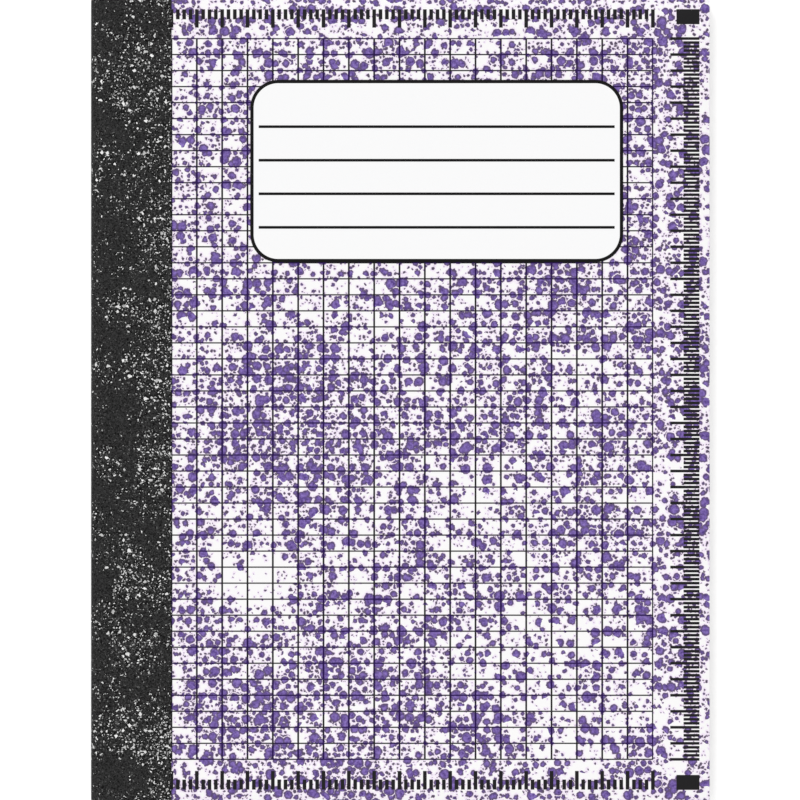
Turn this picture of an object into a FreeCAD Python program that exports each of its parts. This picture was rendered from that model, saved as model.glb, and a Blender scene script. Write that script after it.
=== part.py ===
import FreeCAD, Part
import Sketcher
import math
import os

# A centre-sewn composition notebook, closed and lying on its back cover.
# +X runs from the spine to the fore edge, +Y to the head and +Z up through the front cover.
# The origin is under the middle of the closed book, on the surface that it lies on.
# One board cover is folded round a signature of folded sheets and sewn through the fold.
# A strip of binding tape hides the sewing and laps onto both covers.
# Board and tape are each parted at the two creases where the covers turn.

SIZES = {
    "cover_width": (215.9, "spine to fore edge, tape included"),
    "cover_height": (279.4, "tail to head"),
    "board_thickness": (1.0, "pressed board of the cover"),
    "tape_thickness": (0.25, "binding tape with its glue"),
    "tape_lap": (28.3, "width of the tape seen on each cover, spine included"),
    "leaf_thickness": (0.11, "one leaf"),
    "leaf_count": (50, "leaves in the closed book, two to a folded sheet"),
    "cover_clearance": (0.1, "air between the leaves and each cover"),
    "page_inset": (0.4, "how far the leaves stand inside the cover's edges"),
    "crease_gap": (0.2, "parting between the spine and each cover, at the crease"),
    "thread_diameter": (0.5, "sewing thread laid along the fold, outside and inside"),
    "lock_diameter": (0.4, "thread drawn tight through a needle hole"),
    "thread_clearance": (0.05, "air round the thread"),
    "stitch_pitch": (10.0, "needle hole to needle hole"),
    "stitch_margin": (9.5, "least distance from the cover's edge to the first needle hole"),
    "label_width": (130.0, "across the cover"),
    "label_height": (63.6, "up the cover"),
    "label_corner": (9.8, "corner radius"),
    "label_thickness": (0.12, "label paper"),
    "label_from_fore_edge": (30.15, "cover left beside the label"),
    "label_from_head": (28.1, "cover left above the label"),
}

# Radii and places that follow from the sizes, as expressions on the sheet.
LEAVES = "Sizes.leaf_thickness * Sizes.leaf_count"
NOSE_RADIUS = f"({LEAVES} / 2)"
BOARD_INSIDE = f"({NOSE_RADIUS} + Sizes.cover_clearance)"
BOARD_OUTSIDE = f"({BOARD_INSIDE} + Sizes.board_thickness)"
TAPE_OUTSIDE = f"({BOARD_OUTSIDE} + Sizes.tape_thickness)"
MIDDLE = TAPE_OUTSIDE
CREASE = f"({TAPE_OUTSIDE} - Sizes.cover_width / 2)"
COVER_START = f"({CREASE} + Sizes.crease_gap)"
TAIL = "-Sizes.cover_height / 2"
LEAF_HEIGHT = "Sizes.cover_height - 2 * Sizes.page_inset"
CHANNEL = "(Sizes.thread_diameter + 2 * Sizes.thread_clearance)"
OUTER_RUN = f"({CREASE} - {BOARD_OUTSIDE} + {CHANNEL} / 2)"
INNER_RUN = f"({CREASE} + {CHANNEL} / 2)"
STITCHES = "floor((Sizes.cover_height - 2 * Sizes.stitch_margin) / Sizes.stitch_pitch)"
FIRST_STITCH = f"(-{STITCHES} / 2 * Sizes.stitch_pitch)"
NEEDLE_HOLE = "(Sizes.lock_diameter + 2 * Sizes.thread_clearance)"

doc = FreeCAD.newDocument("composition_notebook")
Vector = FreeCAD.Vector


def fill_sheet():
    """Every driving size in one sheet: name, value and what it measures."""
    sheet = doc.addObject("Spreadsheet::Sheet", "Sizes")
    for row, (alias, (value, meaning)) in enumerate(SIZES.items(), start=1):
        sheet.set(f"A{row}", alias)
        sheet.set(f"B{row}", str(value))
        sheet.set(f"C{row}", meaning)
        sheet.setAlias(f"B{row}", alias)
    doc.recompute()


def new_body(node):
    body = doc.addObject("PartDesign::Body", node)
    body.Label = node
    return body


def new_sketch(body, name, plane, place):
    """A sketch on one of the body's own planes, its origin at place (three expressions)."""
    sketch = body.newObject("Sketcher::SketchObject", f"{body.Name}_{name}")
    origin_plane = [f for f in body.Origin.OriginFeatures if f.Role == plane]
    sketch.AttachmentSupport = [(origin_plane[0], "")]
    sketch.MapMode = "FlatFace"
    for axis, expression in zip("xyz", place):
        sketch.setExpression(f"AttachmentOffset.Base.{axis}", expression)
    return sketch


def constrain(sketch, kind, *arguments, size=None):
    """Adds a constraint; a driving one takes its value from the sheet."""
    index = sketch.addConstraint(Sketcher.Constraint(kind, *arguments))
    if size is not None:
        sketch.setExpression(f"Constraints[{index}]", size)


def draw_rectangle(sketch, width, height):
    """A rectangle from the sketch's origin to (width, height)."""
    corners = [Vector(0, 0), Vector(5, 0), Vector(5, 5), Vector(0, 5)]
    for start, end in zip(corners, corners[1:] + corners[:1]):
        sketch.addGeometry(Part.LineSegment(start, end))
    for side in range(4):
        constrain(sketch, "Coincident", side, 2, (side + 1) % 4, 1)
        constrain(sketch, "Vertical" if side % 2 else "Horizontal", side)
    constrain(sketch, "Coincident", 0, 1, -1, 1)
    constrain(sketch, "DistanceX", 0, 1, 0, 2, 5.0, size=width)
    constrain(sketch, "DistanceY", 1, 1, 1, 2, 5.0, size=height)


def draw_circle(sketch, diameter):
    """A circle round the sketch's origin."""
    sketch.addGeometry(Part.Circle(Vector(0, 0), Vector(0, 0, 1), 1))
    constrain(sketch, "Coincident", 0, 3, -1, 1)
    constrain(sketch, "Diameter", 0, 2.0, size=diameter)


def draw_half_circle(sketch, radius):
    """The left half of a circle round the sketch's origin, from top to bottom."""
    circle = Part.Circle(Vector(0, 0), Vector(0, 0, 1), 3)
    index = sketch.addGeometry(Part.ArcOfCircle(circle, math.pi / 2, 3 * math.pi / 2))
    constrain(sketch, "Coincident", index, 3, -1, 1)
    constrain(sketch, "PointOnObject", index, 1, -2)
    constrain(sketch, "PointOnObject", index, 2, -2)
    constrain(sketch, "Radius", index, 3.0, size=radius)
    return index


def draw_half_ring(sketch, inside, outside):
    """The section of a sheet folded round the spine: two half circles and their ends."""
    outer = draw_half_circle(sketch, outside)
    inner = draw_half_circle(sketch, inside)
    for end, height in ((1, 1), (2, -1)):
        joint = Part.LineSegment(Vector(0, 4 * height), Vector(0, 3 * height))
        line = sketch.addGeometry(joint)
        constrain(sketch, "Coincident", line, 1, outer, end)
        constrain(sketch, "Coincident", line, 2, inner, end)


def draw_signature(sketch, nose, length):
    """The section of the folded sheets: a round fold, two flat sides and the trimmed edge."""
    fold = draw_half_circle(sketch, nose)
    top = sketch.addGeometry(Part.LineSegment(Vector(0, 3), Vector(9, 3)))
    edge = sketch.addGeometry(Part.LineSegment(Vector(9, 3), Vector(9, -3)))
    bottom = sketch.addGeometry(Part.LineSegment(Vector(9, -3), Vector(0, -3)))
    constrain(sketch, "Coincident", fold, 1, top, 1)
    constrain(sketch, "Coincident", top, 2, edge, 1)
    constrain(sketch, "Coincident", edge, 2, bottom, 1)
    constrain(sketch, "Coincident", bottom, 2, fold, 2)
    constrain(sketch, "Horizontal", top)
    constrain(sketch, "Vertical", edge)
    constrain(sketch, "Horizontal", bottom)
    constrain(sketch, "DistanceX", top, 1, top, 2, 9.0, size=length)


def pad(body, sketch, length, symmetric=False, backwards=False):
    feature = body.newObject("PartDesign::Pad", f"{sketch.Name}_pad")
    feature.Profile = sketch
    feature.SideType = "Symmetric" if symmetric else "One side"
    feature.Reversed = backwards
    feature.setExpression("Length", length)
    doc.recompute()
    return feature


def pocket(body, sketch, length=None, symmetric=False):
    """Cuts the sketch out of the body: through all of it unless a length is given."""
    before = body.Shape.Volume
    feature = body.newObject("PartDesign::Pocket", f"{sketch.Name}_pocket")
    feature.Profile = sketch
    feature.SideType = "Symmetric" if symmetric else "One side"
    if length is None:
        feature.Type = "ThroughAll"
    else:
        feature.setExpression("Length", length)
    doc.recompute()
    if not body.Shape.Volume < before:
        raise RuntimeError(f"{feature.Name} cuts nothing")
    return feature


def repeat_along_spine(body, feature):
    """Repeats a stitch's feature from the tail to the head, one stitch apart."""
    pattern = body.newObject("PartDesign::LinearPattern", f"{feature.Name}_row")
    along = [f for f in body.Origin.OriginFeatures if f.Role == "Y_Axis"]
    pattern.Originals = [feature]
    pattern.Direction = (along[0], [""])
    pattern.Mode = "Spacing"
    pattern.setExpression("Offset", "Sizes.stitch_pitch")
    pattern.setExpression("Occurrences", f"{STITCHES} + 1")
    body.Tip = pattern
    doc.recompute()


def flat_sheet(node, left, level, width, thickness):
    """A flat sheet of the cover's height, its left edge and underside placed."""
    body = new_body(node)
    outline = new_sketch(body, "outline", "XY_Plane", (left, TAIL, level))
    draw_rectangle(outline, width, "Sizes.cover_height")
    pad(body, outline, thickness)
    return body


def folded_sheet(node, inside, outside):
    """A sheet folded round the spine, of the cover's height."""
    body = new_body(node)
    section = new_sketch(body, "section", "XZ_Plane", (CREASE, MIDDLE, "0"))
    draw_half_ring(section, inside, outside)
    pad(body, section, "Sizes.cover_height", symmetric=True)
    return body


def needle_holes(body):
    """Square awl holes from the middle of the fold out through the spine."""
    start = (f"{FIRST_STITCH} - {NEEDLE_HOLE} / 2", f"{MIDDLE} - {NEEDLE_HOLE} / 2", INNER_RUN)
    hole = new_sketch(body, "needle_hole", "YZ_Plane", start)
    draw_rectangle(hole, NEEDLE_HOLE, NEEDLE_HOLE)
    repeat_along_spine(body, pocket(body, hole))


def thread_channel(body, left):
    """A square channel along the fold that holds a run of thread."""
    place = (left, f"{MIDDLE} - {CHANNEL} / 2", "0")
    channel = new_sketch(body, "channel", "XZ_Plane", place)
    draw_rectangle(channel, CHANNEL, CHANNEL)
    pocket(body, channel, "Sizes.cover_height * 2", symmetric=True)


def make_covers():
    """Front and back boards, level with the outside of the folded spine."""
    width = f"Sizes.cover_width / 2 - {COVER_START}"
    top = f"{MIDDLE} + {BOARD_INSIDE}"
    flat_sheet("front_cover", COVER_START, top, width, "Sizes.board_thickness")
    flat_sheet("back_cover", COVER_START, "Sizes.tape_thickness", width, "Sizes.board_thickness")


def make_cover_spine():
    """The middle of the cover board, folded round the signature and sewn to it."""
    body = folded_sheet("cover_spine", BOARD_INSIDE, BOARD_OUTSIDE)
    thread_channel(body, f"{CREASE} - {BOARD_OUTSIDE}")
    needle_holes(body)


def make_tape():
    """Binding tape: a strip folded round the spine and a lap on each cover."""
    folded_sheet("spine_tape", BOARD_OUTSIDE, TAPE_OUTSIDE)
    width = f"Sizes.tape_lap - Sizes.cover_width / 2 - {COVER_START}"
    top = f"{MIDDLE} + {BOARD_OUTSIDE}"
    flat_sheet("front_tape_lap", COVER_START, top, width, "Sizes.tape_thickness")
    flat_sheet("back_tape_lap", COVER_START, "0", width, "Sizes.tape_thickness")


def make_page_block():
    """The leaves: one signature of folded sheets, with its sewing channel and holes."""
    body = new_body("page_block")
    section = new_sketch(body, "section", "XZ_Plane", (CREASE, MIDDLE, "0"))
    draw_signature(section, NOSE_RADIUS, f"Sizes.cover_width / 2 - Sizes.page_inset - {CREASE}")
    pad(body, section, LEAF_HEIGHT, symmetric=True)
    thread_channel(body, CREASE)
    needle_holes(body)


def thread_run(body, name, along):
    """A straight run of thread up the whole fold."""
    section = new_sketch(body, name, "XZ_Plane", (along, MIDDLE, "0"))
    draw_circle(section, "Sizes.thread_diameter")
    pad(body, section, LEAF_HEIGHT, symmetric=True)


def make_binding_thread():
    """Lock stitch: a run outside the board and one inside the fold, locked at each hole."""
    body = new_body("binding_thread")
    thread_run(body, "outer_run", OUTER_RUN)
    start = (FIRST_STITCH, MIDDLE, INNER_RUN)
    lock = new_sketch(body, "lock", "YZ_Plane", start)
    draw_circle(lock, "Sizes.lock_diameter")
    reach = f"{INNER_RUN} - {OUTER_RUN}"
    repeat_along_spine(body, pad(body, lock, reach, backwards=True))
    thread_run(body, "inner_run", INNER_RUN)


def make_front_label():
    """The paper label on the front cover, with round corners."""
    body = new_body("front_label")
    left = "Sizes.cover_width / 2 - Sizes.label_from_fore_edge - Sizes.label_width"
    low = "Sizes.cover_height / 2 - Sizes.label_from_head - Sizes.label_height"
    level = f"{MIDDLE} + {BOARD_OUTSIDE}"
    outline = new_sketch(body, "outline", "XY_Plane", (left, low, level))
    draw_rectangle(outline, "Sizes.label_width", "Sizes.label_height")
    paper = pad(body, outline, "Sizes.label_thickness")
    corners = body.newObject("PartDesign::Fillet", "front_label_corners")
    upright = [
        f"Edge{number}"
        for number, edge in enumerate(paper.Shape.Edges, start=1)
        if abs(edge.tangentAt(edge.FirstParameter).z) > 0.9
    ]
    corners.Base = (paper, upright)
    corners.setExpression("Radius", "Sizes.label_corner")


def write_parts():
    """Checks every object and solid, then writes one STEP file for each node."""
    doc.recompute()
    for item in doc.Objects:
        if {"Invalid", "Error"} & set(item.State):
            raise RuntimeError(f"{item.Name} did not rebuild")
    bodies = [item for item in doc.Objects if item.TypeId == "PartDesign::Body"]
    for body in bodies:
        shape = body.Shape
        if shape.isNull() or not shape.isValid() or len(shape.Solids) != 1:
            raise RuntimeError(f"{body.Label} is not one valid solid")
    os.makedirs("parts", exist_ok=True)
    for body in bodies:
        body.Shape.exportStep(f"parts/{body.Label}.step")
        box = body.Shape.BoundBox
        size = f"{box.XLength:.2f} x {box.YLength:.2f} x {box.ZLength:.2f} mm"
        print(f"{body.Label}: {size}, {body.Shape.Volume / 1000:.2f} cm3, {len(body.Shape.Faces)} faces")


fill_sheet()
make_page_block()
make_cover_spine()
make_covers()
make_tape()
make_binding_thread()
make_front_label()
write_parts()
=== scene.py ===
"""Dresses the composition notebook: marbled board, binding tape, leaves, label and thread.

Lengths are in metres in the notebook's own frame: +X to the fore edge, +Y to the head and
+Z up through the front cover. Print is laid out in millimetres on the flat, unfolded cover.
"""

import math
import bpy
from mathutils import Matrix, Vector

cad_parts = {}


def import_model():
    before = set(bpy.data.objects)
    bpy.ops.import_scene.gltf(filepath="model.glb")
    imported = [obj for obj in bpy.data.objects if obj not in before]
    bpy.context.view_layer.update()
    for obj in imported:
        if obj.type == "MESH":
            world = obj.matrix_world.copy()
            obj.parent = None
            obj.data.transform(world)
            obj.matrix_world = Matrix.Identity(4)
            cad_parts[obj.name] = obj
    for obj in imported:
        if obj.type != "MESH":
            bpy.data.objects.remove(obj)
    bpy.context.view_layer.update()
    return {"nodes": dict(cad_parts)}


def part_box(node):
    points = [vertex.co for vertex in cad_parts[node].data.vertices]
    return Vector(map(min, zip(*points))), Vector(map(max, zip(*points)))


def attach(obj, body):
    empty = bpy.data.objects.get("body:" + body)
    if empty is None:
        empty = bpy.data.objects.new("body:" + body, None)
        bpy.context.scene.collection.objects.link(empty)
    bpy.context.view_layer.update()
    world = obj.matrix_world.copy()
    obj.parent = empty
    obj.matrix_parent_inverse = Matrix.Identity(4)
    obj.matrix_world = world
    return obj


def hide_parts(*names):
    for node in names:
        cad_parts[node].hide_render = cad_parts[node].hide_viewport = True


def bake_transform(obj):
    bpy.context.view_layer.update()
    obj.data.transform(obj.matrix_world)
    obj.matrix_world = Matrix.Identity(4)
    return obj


bl_info = {
    "name": "Composition Notebook",
    "version": (1, 0, 0),
    "blender": (4, 5, 0),
    "location": "3D View > Sidebar > Notebook",
    "description": "Builds the covers, binding tape, leaves, label and print of a composition notebook",
    "category": "Object",
}

import bmesh
import bpy
import numpy as np

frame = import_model()

MM = 0.001


def corners(node):
    """Lowest and highest corner of a node at rest, as arrays."""
    low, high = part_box(node)
    return np.array(low), np.array(high)


# Boxes read from the frame
COVER_LOW, COVER_HIGH = corners("front_cover")
SPINE_LOW, SPINE_HIGH = corners("cover_spine")
TAPE_LOW, TAPE_HIGH = corners("spine_tape")
LAP_LOW, LAP_HIGH = corners("front_tape_lap")
LEAVES_LOW, LEAVES_HIGH = corners("page_block")
LABEL_LOW, LABEL_HIGH = corners("front_label")

# The crease, where the covers turn, and the height of the axis that the spine is folded about
CREASE = float(SPINE_HIGH[0])
MIDDLE = float(TAPE_LOW[2] + TAPE_HIGH[2]) / 2
# Radii about that axis
TAPE_OUTSIDE = float(TAPE_HIGH[2] - TAPE_LOW[2]) / 2
BOARD_OUTSIDE = float(SPINE_HIGH[2] - SPINE_LOW[2]) / 2
BOARD_INSIDE = BOARD_OUTSIDE - float(COVER_HIGH[2] - COVER_LOW[2])
NOSE_RADIUS = float(LEAVES_HIGH[2] - LEAVES_LOW[2]) / 2
# Edges of the cover, and of the tape on it
FORE_EDGE = float(COVER_HIGH[0])
TAPE_EDGE = float(LAP_HIGH[0])
TAIL, HEAD = float(COVER_LOW[1]), float(COVER_HIGH[1])
# From the middle of the spine to the crease, round the outside of the tape
QUARTER_TURN = TAPE_OUTSIDE * math.pi / 2

# The picture's side in pixels, the share of the cover's height that it shows, and a pixel's
# side in millimetres on the cover
PICTURE = 800
FRAMED = 0.998
PIXEL = (HEAD - TAIL) * FRAMED / MM / PICTURE


def right_of_middle(pixel):
    """Millimetres right of the cover's middle of a picture column."""
    return (pixel - PICTURE / 2) * PIXEL


def above_middle(pixel):
    """Millimetres above the cover's middle of a picture row."""
    return (PICTURE / 2 - pixel) * PIXEL


def linear(colour):
    """A colour written as three numbers up to 255, in linear light, by the sRGB curve."""
    share = np.array(colour, float) / 255
    low = share / 12.92
    high = ((share + 0.055) / 1.055) ** 2.4
    return tuple(np.where(share <= 0.04045, low, high)) + (1.0,)


class NotebookCovers(bpy.types.PropertyGroup):
    """Board and tape."""

    edge_round: bpy.props.FloatProperty(
        name="Edge round",
        description="Radius of the trimmed board's edges",
        default=0.14 * MM,
        unit="LENGTH",
        precision=5,
    )
    tape_round: bpy.props.FloatProperty(
        name="Tape edge round",
        description="Radius of the binding tape's cut edges",
        default=0.07 * MM,
        unit="LENGTH",
        precision=5,
    )
    crease_width: bpy.props.FloatProperty(
        name="Crease width",
        description="Width of board and tape that bends as a cover opens",
        default=1.5 * MM,
        unit="LENGTH",
        precision=5,
    )


class NotebookLeaves(bpy.types.PropertyGroup):
    """The folded sheets."""

    sheet_count: bpy.props.IntProperty(
        name="Folded sheets",
        description="Sheets nested in the signature, two leaves to a sheet",
        default=25,
        min=1,
    )
    air_share: bpy.props.FloatProperty(
        name="Air share",
        description="Share of a leaf's pitch that is air, on average",
        default=0.14,
        subtype="FACTOR",
    )
    trim_scatter: bpy.props.FloatProperty(
        name="Trim scatter",
        description="How unevenly the leaves end at their trimmed edges",
        default=0.12 * MM,
        unit="LENGTH",
        precision=5,
    )
    square: bpy.props.FloatProperty(
        name="Graph square",
        description="Side of a ruled square on the pages",
        default=5 * MM,
        unit="LENGTH",
    )


class NotebookPrint(bpy.types.PropertyGroup):
    """Colours and line widths of the cover's print."""

    thick_ink: bpy.props.FloatVectorProperty(
        name="Thick ink",
        description="Purple of the marbling where a drop lies thickest",
        default=linear((78, 55, 124))[:3],
        subtype="COLOR",
    )
    thin_ink: bpy.props.FloatVectorProperty(
        name="Thin ink",
        description="Purple of the marbling where a drop lies thinnest",
        default=linear((144, 120, 196))[:3],
        subtype="COLOR",
    )
    rim: bpy.props.FloatVectorProperty(
        name="Drop rims",
        description="Greyer purple of the drops' rims",
        default=linear((94, 78, 112))[:3],
        subtype="COLOR",
    )
    speck: bpy.props.FloatVectorProperty(
        name="Specks",
        description="Nearly grey purple of the three smallest sizes of drop",
        default=linear((90, 79, 99))[:3],
        subtype="COLOR",
    )
    bleed: bpy.props.FloatVectorProperty(
        name="Bleed",
        description="Tint of the paper close to the ink",
        default=linear((245, 231, 250))[:3],
        subtype="COLOR",
    )
    paper: bpy.props.FloatVectorProperty(
        name="Cover paper",
        description="White of the cover under its marbling",
        default=linear((253, 252, 252))[:3],
        subtype="COLOR",
    )
    black: bpy.props.FloatVectorProperty(
        name="Black ink",
        description="Ruling, rulers and corner blocks",
        default=linear((26, 25, 27))[:3],
        subtype="COLOR",
    )
    overprint: bpy.props.FloatVectorProperty(
        name="Ruling on ink",
        description="Thin ruled lines where they cross the marbling ink",
        default=linear((35, 8, 74))[:3],
        subtype="COLOR",
    )
    tape: bpy.props.FloatVectorProperty(
        name="Tape",
        description="Ground colour of the binding tape",
        default=linear((41, 41, 41))[:3],
        subtype="COLOR",
    )
    fleck: bpy.props.FloatVectorProperty(
        name="Flecks",
        description="Colour of the tape's palest flecks",
        default=linear((253, 253, 252))[:3],
        subtype="COLOR",
    )


def shade_of(colour, level=1.0):
    """A setting's colour, lighter or darker by a factor, as a socket takes it."""
    return (*(level * part for part in colour), 1.0)


class Signal:
    """An output of a node. Arithmetic on it adds Math nodes; other() is a sister output."""

    def __init__(self, shader, socket):
        self.shader = shader
        self.socket = socket

    def other(self, name):
        return Signal(self.shader, self.socket.node.outputs[name])

    def __add__(self, value):
        return self.shader.math("ADD", self, value)

    def __sub__(self, value):
        return self.shader.math("SUBTRACT", self, value)

    def __rsub__(self, value):
        return self.shader.math("SUBTRACT", value, self)

    def __mul__(self, value):
        return self.shader.math("MULTIPLY", self, value)

    def __truediv__(self, value):
        return self.shader.math("DIVIDE", self, value)

    __radd__ = __add__
    __rmul__ = __mul__


class Shader:
    """The node tree of a material or a world, built from expressions."""

    def __init__(self, owner):
        owner.use_nodes = True
        self.owner = owner
        self.tree = owner.node_tree
        self.tree.nodes.clear()

    @classmethod
    def of_material(cls, name):
        return cls(bpy.data.materials.new(name))

    def node(self, kind, inputs=None, output=0, **settings):
        """Adds a node: its settings first, then the values or links of its sockets."""
        made = self.tree.nodes.new("ShaderNode" + kind)
        for name, value in settings.items():
            setattr(made, name, value)
        for name, value in (inputs or {}).items():
            if isinstance(value, Signal):
                self.tree.links.new(value.socket, made.inputs[name])
            else:
                made.inputs[name].default_value = value
        return Signal(self, made.outputs[output])

    def math(self, operation, *values):
        return self.node("Math", dict(enumerate(values)), operation=operation)

    def vector(self, operation, *values):
        return self.node("VectorMath", dict(enumerate(values)), operation=operation)

    def scaled(self, vector, factor):
        """A vector times a plain number."""
        return self.node("VectorMath", {"Vector": vector, "Scale": factor}, operation="SCALE")

    def step(self, value, start, end):
        """0 at start and 1 at end, with a smooth rise between; start may be the larger."""
        inputs = {"Value": value, "From Min": start, "From Max": end}
        return self.node("MapRange", inputs, interpolation_type="SMOOTHSTEP")

    def noise(self, place, size, detail=2.0, roughness=0.5, output="Fac"):
        """Noise about a half, with features of about the given size, in the units of place."""
        inputs = {"Vector": place, "Scale": 1 / size, "Detail": detail, "Roughness": roughness}
        return self.node("TexNoise", inputs, output, noise_dimensions="3D")

    def mix(self, share, first, second):
        """Two colours mixed. A Mix node's colour sockets are its inputs 6 and 7, its output 2."""
        return self.node("Mix", {0: share, 6: first, 7: second}, 2, data_type="RGBA")

    def split(self, place):
        """The three components of a vector."""
        parts = self.node("SeparateXYZ", {"Vector": place}, "X")
        return parts, parts.other("Y"), parts.other("Z")

    def finish(self, colour, roughness, relief, tall, specular):
        """The surface: paint, gloss, and a relief from 0 to 1 that stands so many metres tall."""
        inputs = {
            "Base Color": colour,
            "Roughness": roughness,
            "Normal": self.node("Bump", {"Height": relief, "Distance": tall}, "Normal"),
            "Specular IOR Level": specular,
        }
        self.end(self.node("BsdfPrincipled", inputs))
        return self.owner

    def end(self, surface, kind="OutputMaterial"):
        """Links the finished surface, or a world's backdrop, to the tree's output."""
        made = self.tree.nodes.new("ShaderNode" + kind)
        self.tree.links.new(surface.socket, made.inputs["Surface"])


# Marbling: drops of ink on white paper, measured in millimetres on the flat cover

# Where the marbling is thicker (+) or thinner (-): middle right and up, reach, strength
CROWDS = (
    (-36.0, -8.0, 22.0, 0.32),
    (-60.0, -22.0, 14.0, 0.12),
    (62.0, 40.0, 26.0, 0.12),
    (-58.0, -108.0, 24.0, 0.20),
    (-14.0, -120.0, 20.0, 0.16),
    (-54.0, -66.0, 16.0, -0.34),
    (32.0, -30.0, 13.0, -0.26),
    (48.0, -72.0, 16.0, -0.18),
    (-4.0, 34.0, 20.0, -0.18),
    (58.0, -98.0, 28.0, -0.16),
    (-56.0, 34.0, 18.0, -0.12),
    (66.0, 12.0, 14.0, -0.12),
)
# How unevenly drops lie, in broad fields and in clumps a few drops wide: size, strength, detail
DROP_FIELDS = (26.0, 0.7, 1.0)
DROP_CLUMPS = (5.5, 1.1, 1.0)


def uneven(shader, place, size, strength, detail):
    """Noise about zero, from half its strength below to half above."""
    return (shader.noise(place, size, detail) - 0.5) * strength


def crowding(shader, place, patches):
    """How thickly drops lie: in fields and in clumps, with patches that rise or fall like a
    bell."""
    share = uneven(shader, place, *DROP_FIELDS) + uneven(shader, place, *DROP_CLUMPS)
    for right, up, reach, strength in patches:
        away = shader.vector("DISTANCE", place, (right, up, 0.0)).other("Value")
        bell = shader.math("EXPONENT", away * away * (-1 / reach**2))
        share = share + bell * strength
    return share


# Millimetres: how soft a drop's edge is, from where to where its rim fades into its middle,
# how far its ink bleeds into the paper, and the ring that a pushing drop keeps clear; and
# the share of drops that push
SOFTNESS = 0.10
RIM_FADES = (0.12, 0.85)
BLEED = 0.9
CLEARING = 0.32
PUSHING = 0.17
# A honeycomb of spots is moved right by its shift, and down by this share of it
SHIFT_DOWN = 0.7


def scatter(shader, place, cell, radii, shift, metric="EUCLIDEAN"):
    """Spots, one in each cell of a honeycomb of random points, round or, where distance is
    taken along the axes, angular. Returns how far inside its own rim a place lies, the spot's
    centre, and two draws of the spot's own."""
    offset = (shift, -SHIFT_DOWN * shift, 0.0)
    moved = shader.vector("ADD", place, offset)
    inputs = {"Vector": moved, "Scale": 1 / cell, "Randomness": 1.0}
    settings = {"voronoi_dimensions": "2D", "distance": metric}
    nearest = shader.node("TexVoronoi", inputs, "Distance", **settings)
    centre = shader.vector("SUBTRACT", nearest.other("Position"), offset)
    size = shader.node("SeparateColor", {"Color": nearest.other("Color")}, "Red")
    smallest, largest = radii
    within = size * (largest - smallest) + smallest - nearest * cell
    return within, centre, size.other("Green"), size.other("Blue")


def drops(shader, place, crowd_of, cell, radii, fallen, crowded, shift):
    """Drops of ink, their middles, how far they bleed into the paper, and what is left of
    other ink in the rings that some of them keep clear."""
    within, centre, fate, push = scatter(shader, place, cell, radii, shift)
    fell = shader.math("LESS_THAN", fate, crowd_of(centre) * crowded + fallen)
    pushes = shader.math("LESS_THAN", push, PUSHING)
    drop = shader.step(within, -SOFTNESS, SOFTNESS) * fell
    middle = shader.step(within, *RIM_FADES) * fell
    bleed = shader.step(within, -BLEED, 0.0) * fell
    clear = shader.step(within, -CLEARING - SOFTNESS, -CLEARING + SOFTNESS) * fell * pushes
    return drop, middle, bleed, 1 - clear


def union(shader, *masks):
    """The greatest of several masks. One that is still the number 0 adds nothing."""
    parts = [mask for mask in masks if isinstance(mask, Signal)]
    whole = parts[0]
    for mask in parts[1:]:
        whole = shader.math("MAXIMUM", whole, mask)
    return whole


# Drops of the marbling, small to large: cell and radii in millimetres, share fallen, how far
# that follows the crowding, and shift
DROP_SIZES = (
    (1.15, (0.12, 0.24), 0.24, 0.3, 31.7),
    (1.30, (0.20, 0.37), 0.22, 0.8, 23.9),
    (1.60, (0.30, 0.58), 0.29, 1.0, 17.3),
    (2.10, (0.44, 0.88), 0.32, 1.0, 11.9),
    (2.95, (0.72, 1.42), 0.38, 1.0, 7.7),
    (3.80, (0.95, 2.05), 0.41, 1.0, 3.1),
)
# How many of those sizes, from the smallest, are specks
SPECK_SIZES = 3
# What makes a drop's rim wavy and ragged: size, reach and detail of each noise
DROP_STRAYS = ((1.6, 1.4, 2.0), (0.55, 0.42, 1.0))


def strayed(shader, place, noises):
    """A place moved about by one noise after the other, by up to half its reach each way."""
    for size, reach, detail in noises:
        draw = shader.noise(place, size, detail, roughness=0.6, output="Color")
        push = shader.vector("SUBTRACT", draw, (0.5, 0.5, 0.5))
        place = shader.vector("ADD", place, shader.scaled(push, reach))
    return place


def marbling(shader, place, patches):
    """Drops of six sizes with ragged rims, each size laid on the smaller ones. Returns where
    there is ink, where a drop's middle is, where only specks lie, and where ink has bled into
    the paper."""
    ragged = strayed(shader, place, DROP_STRAYS)

    def crowd_of(centre):
        return crowding(shader, centre, patches)

    ink = middles = specks = bled = 0.0
    for number, size in enumerate(DROP_SIZES):
        drop, middle, bleed, kept = drops(shader, ragged, crowd_of, *size)
        ink = union(shader, ink * kept, drop)
        middles = union(shader, middles * kept, middle)
        specks = union(shader, specks, drop) if number < SPECK_SIZES else specks * (1 - drop)
        bled = union(shader, bled, bleed)
    return ink, middles, specks, bled


# Millimetres over which a printed edge fades, each way
PRINT_BLUR = 0.03


def before(shader, across, end):
    """1 where a coordinate is less than a value."""
    return shader.step(across, end + PRINT_BLUR, end - PRINT_BLUR)


def between(shader, across, low, high):
    """1 where a coordinate lies between two values."""
    return shader.step(across, low - PRINT_BLUR, low + PRINT_BLUR) * before(shader, across, high)


def lines(shader, across, start, pitch, width):
    """Even lines across a coordinate: 1 within half a width of start plus whole pitches."""
    turns = (across - start) / pitch
    off = shader.math("ABSOLUTE", turns - shader.math("ROUND", turns)) * pitch
    return before(shader, off, width / 2)


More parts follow.
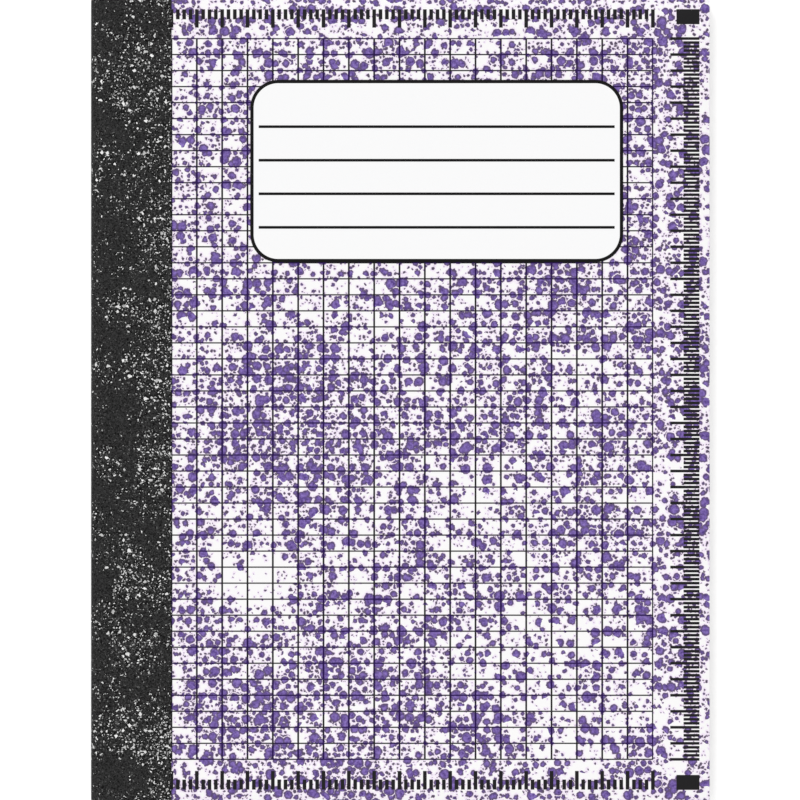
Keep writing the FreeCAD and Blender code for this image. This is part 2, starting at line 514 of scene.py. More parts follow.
# The graph on the front cover, from the picture's pixels, in millimetres
COLUMN_START = right_of_middle(196.8)
COLUMN_PITCH = 25.34 * PIXEL
LAST_COLUMN = right_of_middle(653.3)
ROW_START = above_middle(38.5)
ROW_PITCH = 16.02 * PIXEL
TOP_ROW, BOTTOM_ROW = above_middle(38.0), above_middle(760.0)
COLUMN_WIDTH = 1.83 * PIXEL
ROW_WIDTH = 1.35 * PIXEL
# The three rulers: their outer edge and where short and long ticks end
TICKS_TO_A_SQUARE = 4
TOP_RULER = (above_middle(9.2), above_middle(19.3), above_middle(27.6))
BOTTOM_RULER = (above_middle(789.7), above_middle(779.6), above_middle(771.0))
SIDE_RULER = (right_of_middle(699.5), right_of_middle(683.6), right_of_middle(670.3))
TOP_TICK_WIDTH = 3.7 * PIXEL
SIDE_TICK_WIDTH = 2.75 * PIXEL
# The two corner blocks: left and right ends, then low and high ends of each
BLOCK_COLUMNS = (right_of_middle(676.5), right_of_middle(699.5))
TOP_BLOCK = (above_middle(24.2), above_middle(9.1))
BOTTOM_BLOCK = (above_middle(790.0), above_middle(775.0))


def ruling(shader, place):
    """The black print. Returns the graph's thin lines apart from the rulers and the blocks."""
    right, up, _ = shader.split(place)
    columns = lines(shader, right, COLUMN_START, COLUMN_PITCH, COLUMN_WIDTH)
    columns = columns * between(shader, up, BOTTOM_ROW, TOP_ROW)
    rows = lines(shader, up, ROW_START, ROW_PITCH, ROW_WIDTH)
    rows = rows * between(shader, up, BOTTOM_ROW, TOP_ROW)
    grid = union(shader, columns, rows) * before(shader, right, LAST_COLUMN)

    tick_pitch = COLUMN_PITCH / TICKS_TO_A_SQUARE
    ticks = lines(shader, right, COLUMN_START, tick_pitch, TOP_TICK_WIDTH)
    long_ticks = lines(shader, right, COLUMN_START, COLUMN_PITCH, TOP_TICK_WIDTH)
    top_edge, top_short, top_long = TOP_RULER
    low_edge, low_short, low_long = BOTTOM_RULER
    ends = union(
        shader,
        ticks * between(shader, up, top_short, top_edge),
        long_ticks * between(shader, up, top_long, top_edge),
        ticks * between(shader, up, low_edge, low_short),
        long_ticks * between(shader, up, low_edge, low_long),
    )
    ends = ends * before(shader, right, LAST_COLUMN + TOP_TICK_WIDTH / 2)

    side_pitch = ROW_PITCH / TICKS_TO_A_SQUARE
    side_edge, side_short, side_long = SIDE_RULER
    side_ticks = lines(shader, up, ROW_START, side_pitch, SIDE_TICK_WIDTH)
    side_longs = lines(shader, up, ROW_START, ROW_PITCH, SIDE_TICK_WIDTH)
    side = union(
        shader,
        side_ticks * between(shader, right, side_short, side_edge),
        side_longs * between(shader, right, side_long, side_edge),
    )
    half_tick = SIDE_TICK_WIDTH / 2
    side = side * between(shader, up, BOTTOM_ROW - half_tick, TOP_ROW + half_tick)

    block_columns = between(shader, right, *BLOCK_COLUMNS)
    blocks = union(shader, between(shader, up, *TOP_BLOCK), between(shader, up, *BOTTOM_BLOCK))
    return grid, union(shader, ends, side, block_columns * blocks)


def flat_place(shader):
    """Millimetres on the flat cover, kept in the piece's own map so that print bends with it."""
    return shader.scaled(shader.node("UVMap", output="UV", uv_map="Sheet"), 1 / MM)


def solid_place(shader):
    """Millimetres in the notebook's own frame."""
    return shader.scaled(shader.node("TexCoord", output="Object"), 1 / MM)


def marbled_paper(name, patches, ruled):
    """Marbled cover paper, with or without the black print: ink in drops, each clouded from
    thick to thin and greyer at its rim, on white that is tinted beside it."""
    look = bpy.context.scene.notebook_print
    shader = Shader.of_material(name)
    place = flat_place(shader)
    ink, middles, specks, bled = marbling(shader, place, patches)
    cloud = shader.noise(place, size=1.3, detail=3.0, roughness=0.7)
    cloud = shader.step(cloud, start=0.3, end=0.7)
    purple = shader.mix(cloud, shade_of(look.thick_ink), shade_of(look.thin_ink))
    purple = shader.mix(middles, shade_of(look.rim), purple)
    purple = shader.mix(specks, purple, shade_of(look.speck))
    white = shader.mix(bled, shade_of(look.paper), shade_of(look.bleed))
    colour = shader.mix(ink, white, purple)
    if ruled:
        grid, rulers = ruling(shader, place)
        crossing = shader.mix(ink, shade_of(look.black), shade_of(look.overprint))
        colour = shader.mix(grid, colour, crossing)
        colour = shader.mix(rulers, colour, shade_of(look.black))
    grain = shader.noise(place, size=0.35, detail=3.0, roughness=0.6)
    matt = 0.52 + 0.1 * shader.noise(place, size=1.2) - 0.05 * ink
    return shader.finish(colour, roughness=matt, relief=grain, tall=0.012 * MM, specular=0.12)


# The lining's darker and paler fibres
LINING_SHADES = (linear((238, 236, 231)), linear((246, 245, 242)))


def cover_lining():
    """White lining paper on the inside of a cover."""
    shader = Shader.of_material("cover_lining")
    fibres = shader.noise(solid_place(shader), size=0.6, detail=4.0, roughness=0.65)
    colour = shader.mix(fibres, *LINING_SHADES)
    matt = 0.75 - 0.1 * fibres
    return shader.finish(colour, roughness=matt, relief=fibres, tall=0.01 * MM, specular=0.25)


# The board's darker and paler layers, and how many there are to a millimetre each way
LAYER_SHADES = (linear((150, 146, 139)), linear((204, 200, 192)))
LAYERS = (0.5, 0.5, 6.0)


def board_edge():
    """Pressed board where it is trimmed: pale grey layers."""
    shader = Shader.of_material("board_edge")
    squeezed = shader.vector("MULTIPLY", solid_place(shader), LAYERS)
    layers = shader.noise(squeezed, size=1.0, detail=3.0, roughness=0.6)
    colour = shader.mix(layers, *LAYER_SHADES)
    return shader.finish(colour, roughness=0.85, relief=layers, tall=0.03 * MM, specular=0.2)


# Flecks of the tape, dim grit first, then small to large: cell and radii in millimetres, share
# that shows, shift, dimmest and brightest
FLECK_SIZES = (
    (0.66, (0.12, 0.30), 0.32, 31.1, (0.03, 0.15)),
    (0.85, (0.14, 0.32), 0.11, 4.3, (0.25, 1.0)),
    (1.20, (0.16, 0.44), 0.10, 13.1, (0.30, 1.0)),
    (1.90, (0.24, 0.74), 0.03, 27.7, (0.45, 1.0)),
)
# How unevenly flecks lie, in broad fields and in clumps: size, strength, detail
FLECK_FIELDS = (18.0, 1.25, 1.0)
FLECK_CLUMPS = (4.0, 0.95, 2.0)
# How much thicker they lie at the tape's edge than at the spine, and how much thinner all over
EDGE_CROWD = 0.24
THINNING = 0.05
# What makes a fleck stretched and ragged: size, reach and detail of each noise
FLECK_STRAYS = ((2.2, 2.4, 2.0), (0.4, 0.45, 1.0))
# Millimetres, out and in, over which a fleck's edge fades
FLECK_FADES = (-0.04, 0.05)
# Millimetres round a fleck over which a painted shadow darkens the ground, and by what factor
FLECK_SHADOW_REACH = 1.1
FLECK_SHADOW_LEVEL = 0.05
# The darkest and the palest grit of the ground, as factors of the tape's colour
GRIT_LEVELS = (0.02, 2.1)
# The cloth under the coating: millimetres from thread to thread, and its share of the relief
TAPE_WEAVE = 0.5
WEAVE_SHARE = 0.25


def binding_tape():
    """Black tape with ragged pale flecks, thicker towards the covers than at the spine. Its
    ground is gritty, with a painted shadow round the flecks that darkens it, and its cloth
    shows through as a relief: the product of a sine across and a sine up."""
    look = bpy.context.scene.notebook_print
    shader = Shader.of_material("binding_tape")
    place = flat_place(shader)
    right, up, _ = shader.split(place)
    lap = (TAPE_EDGE - CREASE + QUARTER_TURN) / MM
    from_spine = shader.math("ABSOLUTE", right - (CREASE - QUARTER_TURN) / MM) / lap
    drawn = strayed(shader, place, FLECK_STRAYS)
    crowd = uneven(shader, place, *FLECK_FIELDS) + uneven(shader, place, *FLECK_CLUMPS)
    crowd = crowd + from_spine * EDGE_CROWD - THINNING
    flecks = painted_shadow = 0.0
    for cell, radii, shown, shift, (dimmest, brightest) in FLECK_SIZES:
        within, _, fate, paleness = scatter(shader, drawn, cell, radii, shift, "MANHATTAN")
        shows = shader.math("LESS_THAN", fate, crowd + shown)
        level = paleness * (brightest - dimmest) + dimmest
        flecks = union(shader, flecks, shader.step(within, *FLECK_FADES) * shows * level)
        # A painted shadow round each fleck that shows, darkening the ground as if the fleck stood up
        # from it
        fleck_shadow = shader.step(within, -FLECK_SHADOW_REACH, 0.0) * shows * brightest
        painted_shadow = union(shader, painted_shadow, fleck_shadow)
    grit = shader.step(shader.noise(drawn, size=0.5, roughness=0.7), start=0.32, end=0.68)
    darkest_grit, palest_grit = GRIT_LEVELS
    ground = shader.mix(grit, shade_of(look.tape, darkest_grit), shade_of(look.tape, palest_grit))
    # The ground, darkened by the painted shadow round the flecks
    ground = shader.mix(painted_shadow, ground, shade_of(look.tape, FLECK_SHADOW_LEVEL))
    colour = shader.mix(flecks, ground, shade_of(look.fleck))
    warp = shader.math("SINE", right * (2 * math.pi / TAPE_WEAVE))
    weft = shader.math("SINE", up * (2 * math.pi / TAPE_WEAVE))
    relief = warp * weft * WEAVE_SHARE + grit * (1 - 2 * WEAVE_SHARE) + WEAVE_SHARE
    matt = 0.6 + 0.15 * relief
    return shader.finish(colour, roughness=matt, relief=relief, tall=0.03 * MM, specular=0.06)


# Ruling of the pages, in millimetres and squares
FOLD_MARGIN = 9.0
SQUARES_ACROSS = 39
SQUARES_UP = 52
PAGE_LINE = 0.3
# Its ink, how strongly that covers, and the paper's darker and paler fibres
PAGE_INK = linear((160, 184, 212))
INK_COVER = 0.7
PAGE_SHADES = (linear((246, 245, 242)), linear((251, 251, 249)))


def writing_paper():
    """White leaves, ruled in pale squares that stop short of the edges and the fold."""
    square = bpy.context.scene.notebook_leaves.square / MM
    shader = Shader.of_material("writing_paper")
    place = solid_place(shader)
    right, up, _ = shader.split(place)
    first = CREASE / MM + FOLD_MARGIN
    last = first + SQUARES_ACROSS * square
    high = SQUARES_UP / 2 * square
    ruled = union(
        shader,
        lines(shader, right, first, square, PAGE_LINE),
        lines(shader, up, -high, square, PAGE_LINE),
    )
    half_line = PAGE_LINE / 2
    ruled = ruled * between(shader, right, first - half_line, last + half_line)
    ruled = ruled * between(shader, up, -high - half_line, high + half_line)
    fibres = shader.noise(place, size=0.8, detail=4.0, roughness=0.6)
    paper = shader.mix(fibres, *PAGE_SHADES)
    colour = shader.mix(ruled * INK_COVER, paper, PAGE_INK)
    matt = 0.8 - 0.1 * fibres
    return shader.finish(colour, roughness=matt, relief=fibres, tall=0.008 * MM, specular=0.12)


# The stack's darker and paler streaks, and how many there are to a millimetre each way
STREAK_SHADES = (linear((196, 191, 183)), linear((253, 252, 249)))
STREAKS = (0.03, 0.03, 5.5)


def leaf_edges():
    """The leaves' trimmed edges: streaks along the stack, as sheets catch the light."""
    shader = Shader.of_material("leaf_edges")
    squeezed = shader.vector("MULTIPLY", solid_place(shader), STREAKS)
    streaks = shader.noise(squeezed, size=1.0, detail=4.0, roughness=0.8)
    colour = shader.mix(shader.step(streaks, start=0.34, end=0.60), *STREAK_SHADES)
    return shader.finish(colour, roughness=0.85, relief=streaks, tall=0.04 * MM, specular=0.1)


# The label's border and rules, from the picture's pixels, in millimetres
LABEL_BORDER = 3.4 * PIXEL
LABEL_CORNER = 28.0 * PIXEL
RULE_START = above_middle(126.65)
RULE_PITCH = 33.56 * PIXEL
RULE_COUNT = 4
RULE_WIDTH = 2.75 * PIXEL
RULE_ENDS = (right_of_middle(258.65), right_of_middle(614.7))
# Its ink, and the paper's darker and paler fibres
LABEL_BLACK = linear((5, 5, 5))
LABEL_SHADES = (linear((250, 250, 251)), linear((253, 253, 253)))


def rounded_distance(shader, place, low, high, corner):
    """Distance outside a rectangle with round corners, negative inside it: the distance from
    the rectangle of the corners' centres, less the corners' radius."""
    middle = ((low[0] + high[0]) / 2, (low[1] + high[1]) / 2, 0.0)
    half = ((high[0] - low[0]) / 2 - corner, (high[1] - low[1]) / 2 - corner, 0.0)
    from_middle = shader.vector("MULTIPLY", shader.vector("SUBTRACT", place, middle), (1, 1, 0))
    over = shader.vector("SUBTRACT", shader.vector("ABSOLUTE", from_middle), half)
    outside = shader.vector("LENGTH", shader.vector("MAXIMUM", over, (0, 0, 0))).other("Value")
    across, up, _ = shader.split(over)
    inside = shader.math("MINIMUM", union(shader, across, up), 0.0)
    return outside + inside - corner


def label_paper():
    """White label paper with its black border and four writing lines."""
    shader = Shader.of_material("label_paper")
    place = solid_place(shader)
    right, up, _ = shader.split(place)
    away = rounded_distance(shader, place, LABEL_LOW / MM, LABEL_HIGH / MM, LABEL_CORNER)
    border = 1 - before(shader, away, -LABEL_BORDER)
    rules = lines(shader, up, RULE_START, RULE_PITCH, RULE_WIDTH)
    last_rule = RULE_START - (RULE_COUNT - 1) * RULE_PITCH
    rules = rules * between(shader, up, last_rule - RULE_WIDTH, RULE_START + RULE_WIDTH)
    rules = rules * between(shader, right, *RULE_ENDS)
    fibres = shader.noise(place, size=0.5, detail=3.0, roughness=0.6)
    paper = shader.mix(fibres, *LABEL_SHADES)
    colour = shader.mix(union(shader, border, rules), paper, LABEL_BLACK)
    matt = 0.55 + 0.1 * fibres
    return shader.finish(colour, roughness=matt, relief=fibres, tall=0.008 * MM, specular=0.12)


# The thread's plies: millimetres from ply to ply along it, their slant, and their colours with
# painted shade in the hollows and a painted highlight on the crowns
PLY_PITCH = 0.6
PLY_SLANT = 0.8
PLY_SHADE_AND_HIGHLIGHT = (linear((205, 203, 194)), linear((236, 235, 228)))


def sewing_thread():
    """Pale thread: plies twisted about the thread's own run, as a sine that climbs aslant, with painted
    shade in their hollows and a painted highlight on their crowns.
    """
    shader = Shader.of_material("sewing_thread")
    _, up, high = shader.split(solid_place(shader))
    climb = (up + high * PLY_SLANT) * (2 * math.pi / PLY_PITCH)
    plies = shader.math("SINE", climb) * 0.5 + 0.5
    # Painted shade in the plies' hollows and a painted highlight on their crowns
    colour = shader.mix(plies, *PLY_SHADE_AND_HIGHLIGHT)
    matt = 0.7 + 0.1 * plies
    return shader.finish(colour, roughness=matt, relief=plies, tall=0.06 * MM, specular=0.3)


# Meshes

# The least angle between two faces that meet in a sharp edge
SHARP_ANGLE = math.radians(32)
# Points across a rounded edge, and decimals of a metre past which two places are one
EDGE_POINTS = 5
DECIMALS = 9


def grid_faces(rows, columns):
    """Quads between the neighbours of a grid whose points are numbered row by row."""
    number = np.arange(rows * columns).reshape(rows, columns)
    around = (number[:-1, :-1], number[1:, :-1], number[1:, 1:], number[:-1, 1:])
    return np.stack(around, -1).reshape(-1, 4)


def grid_border(rows, columns):
    """Numbers of the grid's outer points, once round."""
    number = np.arange(rows * columns).reshape(rows, columns)
    sides = (number[:-1, 0], number[-1, :-1], number[:0:-1, -1], number[0, :0:-1])
    return np.concatenate(sides)


def make_mesh(name, points, faces, materials, material_of=None, maps=None):
    """A closed mesh with its faces outward, its corners' maps and its flat creases sharp.
    Faces are lists of point numbers, and a map has a place for each corner of each face."""
    mesh = bpy.data.meshes.new(name)
    mesh.from_pydata(points.tolist(), [], faces)
    for layer, places in (maps or {}).items():
        mesh.uv_layers.new(name=layer).data.foreach_set("uv", places.astype(np.float32).ravel())
    for material in materials:
        mesh.materials.append(material)
    if material_of is not None:
        mesh.polygons.foreach_set("material_index", material_of.astype(np.int32))
    form = bmesh.new()
    form.from_mesh(mesh)
    bmesh.ops.recalc_face_normals(form, faces=form.faces)
    form.to_mesh(mesh)
    form.free()
    mesh.polygons.foreach_set("use_smooth", np.ones(len(mesh.polygons), bool))
    mesh.set_sharp_from_angle(angle=SHARP_ANGLE)
    mesh.update()
    piece = bpy.data.objects.new(name, mesh)
    bpy.context.scene.collection.objects.link(piece)
    return piece


def eased(distance, radius):
    """How far a face falls away near a rounded edge: a quarter circle of the given radius."""
    short = np.clip(radius - distance, 0, radius)
    return radius - np.sqrt(np.maximum(radius**2 - short**2, 0))


def near_edge(radius):
    """Distances from a rounded edge at which its quarter circle needs points."""
    return radius * (1 - np.cos(np.linspace(0, math.pi / 2, EDGE_POINTS)))


def in_order(*runs):
    """Runs of places joined and put in order, with those less than a nanometre apart merged."""
    return np.unique(np.round(np.concatenate(runs), DECIMALS))


def wrapped(across, along, out, side):
    """Carries a flat sheet round the spine. Up to a quarter turn it is an arc about the
    fold's axis of radius out; past that it is straight, out from the middle of the book."""
    turn = np.minimum(across / QUARTER_TURN, 1) * math.pi / 2
    straight = np.maximum(across - QUARTER_TURN, 0)
    x = CREASE + straight - out * np.cos(turn)
    z = MIDDLE + side * out * np.sin(turn)
    return np.stack([x, np.broadcast_to(along, x.shape), z], -1)


# Points of a folded sheet: round the spine, across the crease, on to the trimmed edge, and
# from tail to head
SPINE_POINTS = 25
CREASE_POINTS = 13
COVER_POINTS = 25
HEIGHT_POINTS = 41
# Strips of the baked map: the inner face up to here, the wall between these, and the outer
# face from here on
INSIDE_STRIP = 0.10
WALL_STRIP = (0.105, 0.115)
OUTSIDE_STRIP = 0.12


def folded_skin(name, inside, outside, last, side, round_by, materials):
    """Half of a sheet folded round the spine, from the middle of the spine to its last edge.

    Two height fields over the same grid, across the sheet and along the spine: the outer
    face at the outside radius and the inner at the inside radius, both eased off at the
    trimmed edges by a quarter circle, and joined round the border by a wall. Both are then
    wrapped round the spine. The outer face takes most of the baked map, and the Sheet map
    holds metres on the flat, unfolded cover."""
    crease_width = bpy.context.scene.notebook_covers.crease_width
    reach = QUARTER_TURN + last - CREASE
    bend_ends = QUARTER_TURN + crease_width
    across = in_order(
        np.linspace(0, QUARTER_TURN, SPINE_POINTS),
        np.linspace(QUARTER_TURN, bend_ends, CREASE_POINTS),
        np.linspace(bend_ends, reach - round_by, COVER_POINTS),
        reach - near_edge(round_by),
    )
    along = in_order(
        TAIL + near_edge(round_by),
        np.linspace(TAIL + round_by, HEAD - round_by, HEIGHT_POINTS),
        HEAD - near_edge(round_by),
    )
    a, b = np.meshgrid(across, along, indexing="ij")
    to_edge = np.minimum(np.minimum(b - TAIL, HEAD - b), reach - a)
    ease = eased(to_edge, round_by)
    outer = wrapped(a, b, outside - ease, side).reshape(-1, 3)
    inner = wrapped(a, b, inside + ease, side).reshape(-1, 3)
    points = np.concatenate([outer, inner])

    rows, columns = a.shape
    face = grid_faces(rows, columns)
    border = grid_border(rows, columns)
    following = np.roll(border, -1)
    count = rows * columns
    wall = np.stack([border, border + count, following + count, following], -1)
    faces = np.concatenate([face, face + count, wall])

    u, v = a / reach, (b - TAIL) / (HEAD - TAIL)
    outer_map = np.stack([OUTSIDE_STRIP + (1 - OUTSIDE_STRIP) * u, v], -1).reshape(-1, 2)
    inner_map = np.stack([INSIDE_STRIP * u, v], -1).reshape(-1, 2)
    near, far = WALL_STRIP
    climb = np.arange(len(border) + 1) / len(border)
    wall_climb = np.stack([climb[:-1], climb[:-1], climb[1:], climb[1:]], -1)
    wall_across = np.broadcast_to([near, far, far, near], wall_climb.shape)
    wall_map = np.stack([wall_across, wall_climb], -1)
    bake = np.concatenate([outer_map[face], inner_map[face], wall_map])
    flat = np.stack([CREASE - QUARTER_TURN + side * a, b], -1).reshape(-1, 2)
    sheet = np.concatenate([flat[face], flat[face], flat[wall % count]])
    kinds = np.repeat([0, 1, 2], [len(face), len(face), len(wall)])
    kinds = np.minimum(kinds, len(materials) - 1)
    maps = {"OFBake": bake, "Sheet": sheet}
    return make_mesh(name, points, faces.tolist(), materials, kinds, maps)


def bend_at_crease(piece, cover):
    """Bakes the piece's place into its mesh, alike for either cover."""
    if cover == "front":
        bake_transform(piece)
    else:
        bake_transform(piece)


class NOTEBOOK_OT_boards(bpy.types.Operator):
    """Builds the two halves of the folded cover board"""

    bl_idname = "notebook.boards"
    bl_label = "Boards"

    def execute(self, context):
        sizes = context.scene.notebook_covers
        front = marbled_paper("marbled_front", CROWDS, True)
        back = marbled_paper("marbled_back", (), False)
        lining, edge = cover_lining(), board_edge()
        for cover, side, paper in (("front", 1, front), ("back", -1, back)):
            board = folded_skin(
                f"{cover}_board",
                BOARD_INSIDE,
                BOARD_OUTSIDE,
                FORE_EDGE,
                side,
                sizes.edge_round,
                [paper, lining, edge],
            )
            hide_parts(f"{cover}_cover", "cover_spine")
            bend_at_crease(board, cover)
        return {"FINISHED"}


class NOTEBOOK_OT_tape(bpy.types.Operator):
    """Builds the two halves of the binding tape"""

    bl_idname = "notebook.tape"
    bl_label = "Binding tape"

    def execute(self, context):
        sizes = context.scene.notebook_covers
        material = binding_tape()
        for cover, side in (("front", 1), ("back", -1)):
            tape = folded_skin(
                f"{cover}_tape",
                BOARD_OUTSIDE,
                TAPE_OUTSIDE,
                TAPE_EDGE,
                side,
                sizes.tape_round,
                [material],
            )
            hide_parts(f"{cover}_tape_lap", "spine_tape")
            bend_at_crease(tape, cover)
        return {"FINISHED"}


# Points round the fold of one sheet, and what its inner side keeps as its least radius
FOLD_POINTS = 17
LEAST_FOLD = 0.02 * MM
# Seed of the leaves' unevenness, and between what shares of its average the air varies
LEAF_SEED = 52
AIR_SPREAD = (0.2, 1.8)


def sheet_path(radius, thickness, trims):
    """Section of one folded sheet: in along the lower leaf, round the fold, out along the
    upper leaf, as two lines a thickness apart. Returns x and z, the outer line and then the
    inner one backwards."""
    turn = np.linspace(-math.pi / 2, -3 * math.pi / 2, FOLD_POINTS)
    sides = []
    for r in (radius, radius - thickness):
        low = [[trims[0], MIDDLE - r]]
        fold = np.stack([CREASE + r * np.cos(turn), MIDDLE + r * np.sin(turn)], -1)
        high = [[trims[1], MIDDLE + r]]
        sides.append(np.concatenate([low, fold, high]))
    outer, inner = sides
    return np.concatenate([outer, inner[::-1]])


def folded_sheet(radius, thickness, trims, ends):
    """One folded sheet: its section at the tail and at the head, walls between the two, and
    across each a cap of quads from its outer line to its inner one. Returns points, faces and
    whether each face is a trimmed edge."""
    section = sheet_path(radius, thickness, trims)
    ring = len(section)
    points = [np.stack([section[:, 0], np.full(ring, y), section[:, 1]], -1) for y in ends]
    number = np.arange(ring)
    after = np.roll(number, -1)
    walls = np.stack([number, after, after + ring, number + ring], -1)
    half = ring // 2
    outer = np.arange(half - 1)
    inner = ring - 1 - outer
    caps = np.stack([outer, outer + 1, inner - 1, inner], -1)
    faces = np.concatenate([walls, caps, caps + ring])
    fore_edges = np.isin(number, (half - 1, ring - 1))
    trimmed = np.concatenate([fore_edges, np.ones(2 * len(caps), bool)])
    return np.concatenate(points), faces, trimmed


class NOTEBOOK_OT_leaves(bpy.types.Operator):
    """Builds the signature: folded sheets nested one inside the next"""

    bl_idname = "notebook.leaves"
    bl_label = "Leaves"

    def execute(self, context):
        sizes = context.scene.notebook_leaves
        draws = np.random.default_rng(LEAF_SEED)
        pitch = NOSE_RADIUS / sizes.sheet_count
        points, faces, trimmed = [], [], []
        first = 0
        for sheet in range(sizes.sheet_count):
            air = pitch * sizes.air_share * draws.uniform(*AIR_SPREAD)
            radius = NOSE_RADIUS - sheet * pitch
            thickness = min(pitch - air, radius - LEAST_FOLD)
            trims = LEAVES_HIGH[0] - sizes.trim_scatter * draws.uniform(0, 1, 2)
            tail = LEAVES_LOW[1] + sizes.trim_scatter * draws.uniform(0, 1)
            head = LEAVES_HIGH[1] - sizes.trim_scatter * draws.uniform(0, 1)
            form, sides, cut = folded_sheet(radius, thickness, trims, (tail, head))
            points.append(form)
            faces.append(first + sides)
            trimmed.append(cut)
            first += len(form)
        block = make_mesh(
            "leaves",
            np.concatenate(points),
            np.concatenate(faces).tolist(),
            [writing_paper(), leaf_edges()],
            np.concatenate(trimmed),
        )
        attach(block, "block")
        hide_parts("page_block")
        return {"FINISHED"}


# The label: points round a corner, how much of its thickness is rounded at its cut edge, and
# millimetres in to its flat top
CORNER_POINTS = 12
ROUNDED_SHARE = 0.4
LABEL_RIM = 0.5


def rounded_outline(low, high, corner):
    """Points once round a rectangle with round corners: a quarter circle at each corner."""
    centres = [
        (high[0] - corner, high[1] - corner),
        (low[0] + corner, high[1] - corner),
        (low[0] + corner, low[1] + corner),
        (high[0] - corner, low[1] + corner),
    ]
    arcs = []
    for quarter, centre in enumerate(centres):
        turn = np.linspace(quarter, quarter + 1, CORNER_POINTS) * math.pi / 2
        arcs.append(np.stack([np.cos(turn), np.sin(turn)], -1) * corner + centre)
    return np.concatenate(arcs)


class NOTEBOOK_OT_label(bpy.types.Operator):
    """Builds the paper label on the front cover: rings of its outline, moved in towards the
    middle and down by a quarter circle, with one face across the top and one below"""

    bl_idname = "notebook.label"
    bl_label = "Label"

    def execute(self, context):
        low, high = LABEL_LOW[:2], LABEL_HIGH[:2]
        outline = rounded_outline(low, high, LABEL_CORNER * MM)
        round_by = (LABEL_HIGH[2] - LABEL_LOW[2]) * ROUNDED_SHARE
        insets = np.append(near_edge(round_by), LABEL_RIM * MM)
        inward = (low + high) / 2 - outline
        reach = np.linalg.norm(inward, axis=1, keepdims=True)
        rings = [outline, *(outline + inward * inset / reach for inset in insets)]
        levels = [LABEL_LOW[2], *(LABEL_HIGH[2] - eased(insets, round_by))]
        rows, columns = len(rings), len(outline)
        points = np.column_stack([np.concatenate(rings), np.repeat(levels, columns)])
        number = np.arange(rows * columns).reshape(rows, columns)
        after = np.roll(number, -1, 1)
        walls = np.stack([number[:-1], after[:-1], after[1:], number[1:]], -1).reshape(-1, 4)
        faces = [*walls.tolist(), number[0].tolist(), number[-1].tolist()]
        bake = ((points[:, :2] - low) / (high - low))[np.concatenate(faces)]
        label = make_mesh("label", points, faces, [label_paper()], maps={"OFBake": bake})
        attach(label, "front")
        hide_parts("front_label")
        return {"FINISHED"}


class NOTEBOOK_OT_thread(bpy.types.Operator):
    """Gives the sewing thread its finish"""

    bl_idname = "notebook.thread"
    bl_label = "Thread"

    def execute(self, context):
        thread = frame["nodes"]["binding_thread"]
        thread.material_slots[0].material = sewing_thread()
        return {"FINISHED"}


# Stage

# Millimetres of the camera's lens and sensor
LENS = 200.0
SENSOR = 36.0
# How far the floor lies below the back cover, so that the cover clears it when it turns over
LIFT = 1.3 * MM
# Half the floor's side in metres, its paint, and the glow that makes it white to the camera
FLOOR_REACH = 4.0
FLOOR_COLOUR = (0.8, 0.8, 0.8, 1.0)
FLOOR_GLOW = 0.45
WHITE = (1.0, 1.0, 1.0, 1.0)
# How brightly the world and the lamp light white paper, and the lamp's softness and turn
WORLD_LEVEL = 0.66
SUN_LEVEL = 0.40
SUN_WIDTH = math.radians(25)
SUN_TURN = (math.radians(-28), math.radians(-24), 0.0)


def seen_directly(shader):
    """1 for what the camera sees, straight or in a gloss or through glass."""
    path = shader.node("LightPath", output="Is Camera Ray")
    return union(shader, path, path.other("Is Glossy Ray"), path.other("Is Transmission Ray"))


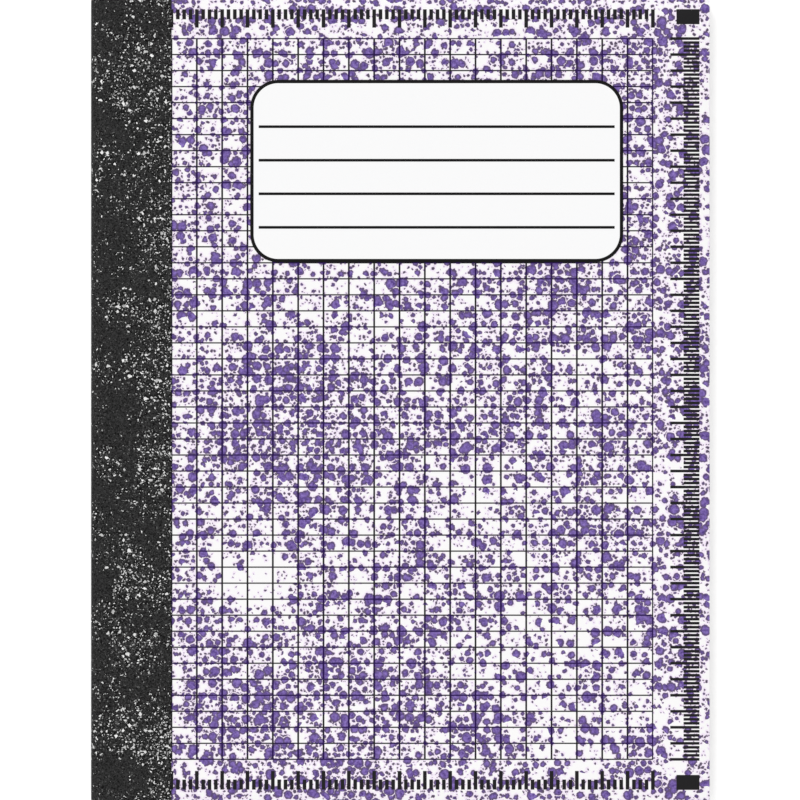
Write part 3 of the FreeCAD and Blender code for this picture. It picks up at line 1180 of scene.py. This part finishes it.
class NOTEBOOK_OT_stage(bpy.types.Operator):
    """Builds the floor, the light and the camera that looks straight down"""

    bl_idname = "notebook.stage"
    bl_label = "Stage"

    def execute(self, context):
        scene = context.scene
        self.floor(scene)
        self.light(scene)
        self.camera(scene)
        scene.view_settings.view_transform = "Standard"
        return {"FINISHED"}

    def floor(self, scene):
        """A flat sheet that glows for what the camera sees, and only takes light otherwise."""
        reach = FLOOR_REACH
        around = ((-reach, -reach), (reach, -reach), (reach, reach), (-reach, reach))
        mesh = bpy.data.meshes.new("floor")
        mesh.from_pydata([(x, y, -LIFT) for x, y in around], [], [(0, 1, 2, 3)])
        shader = Shader.of_material("floor")
        matt = shader.node("BsdfDiffuse", {"Color": FLOOR_COLOUR})
        glow = shader.node("Emission", {"Color": WHITE, "Strength": FLOOR_GLOW})
        bright = shader.node("AddShader", {0: matt, 1: glow})
        shader.end(shader.node("MixShader", {0: seen_directly(shader), 1: matt, 2: bright}))
        mesh.materials.append(shader.owner)
        floor = bpy.data.objects.new("floor", mesh)
        scene.collection.objects.link(floor)

    def light(self, scene):
        """An even white world, which is full white to the camera, and one soft lamp."""
        scene.world = bpy.data.worlds.new("studio")
        shader = Shader(scene.world)
        level = seen_directly(shader) * (1 - WORLD_LEVEL) + WORLD_LEVEL
        shader.end(shader.node("Background", {"Color": WHITE, "Strength": level}), "OutputWorld")
        sun = bpy.data.lights.new("key", "SUN")
        sun.energy = SUN_LEVEL * math.pi
        sun.angle = SUN_WIDTH
        key = bpy.data.objects.new("key", sun)
        key.rotation_euler = SUN_TURN
        scene.collection.objects.link(key)

    def camera(self, scene):
        """A long lens over the middle of the cover, as far up as the picture's frame asks."""
        lens = bpy.data.cameras.new("camera")
        lens.lens = LENS
        lens.sensor_width = SENSOR
        distance = (HEAD - TAIL) * FRAMED * LENS / SENSOR
        camera = bpy.data.objects.new("camera", lens)
        camera.location = (0.0, 0.0, float(TAPE_HIGH[2]) + distance)
        scene.collection.objects.link(camera)
        scene.camera = camera


class NOTEBOOK_PT_panel(bpy.types.Panel):
    """Lists the notebook's pieces in the sidebar"""

    bl_label = "Composition Notebook"
    bl_idname = "NOTEBOOK_PT_panel"
    bl_space_type = "VIEW_3D"
    bl_region_type = "UI"
    bl_category = "Notebook"

    def draw(self, context):
        for group in ("notebook_covers", "notebook_leaves", "notebook_print"):
            settings = getattr(context.scene, group)
            box = self.layout.box()
            for name in settings.__annotations__:
                box.prop(settings, name)
        for operator in OPERATORS:
            self.layout.operator(operator.bl_idname)


OPERATORS = (
    NOTEBOOK_OT_boards,
    NOTEBOOK_OT_tape,
    NOTEBOOK_OT_leaves,
    NOTEBOOK_OT_label,
    NOTEBOOK_OT_thread,
    NOTEBOOK_OT_stage,
)
GROUPS = {
    "notebook_covers": NotebookCovers,
    "notebook_leaves": NotebookLeaves,
    "notebook_print": NotebookPrint,
}
CLASSES = (*GROUPS.values(), *OPERATORS, NOTEBOOK_PT_panel)


def register():
    for item in CLASSES:
        bpy.utils.register_class(item)
    for name, group in GROUPS.items():
        setattr(bpy.types.Scene, name, bpy.props.PointerProperty(type=group))


def unregister():
    for name in GROUPS:
        delattr(bpy.types.Scene, name)
    for item in reversed(CLASSES):
        bpy.utils.unregister_class(item)


def main():
    """Builds every piece."""
    register()
    bpy.ops.notebook.boards()
    bpy.ops.notebook.tape()
    bpy.ops.notebook.leaves()
    bpy.ops.notebook.label()
    bpy.ops.notebook.thread()
    bpy.ops.notebook.stage()


if __name__ == "__main__":
    main()
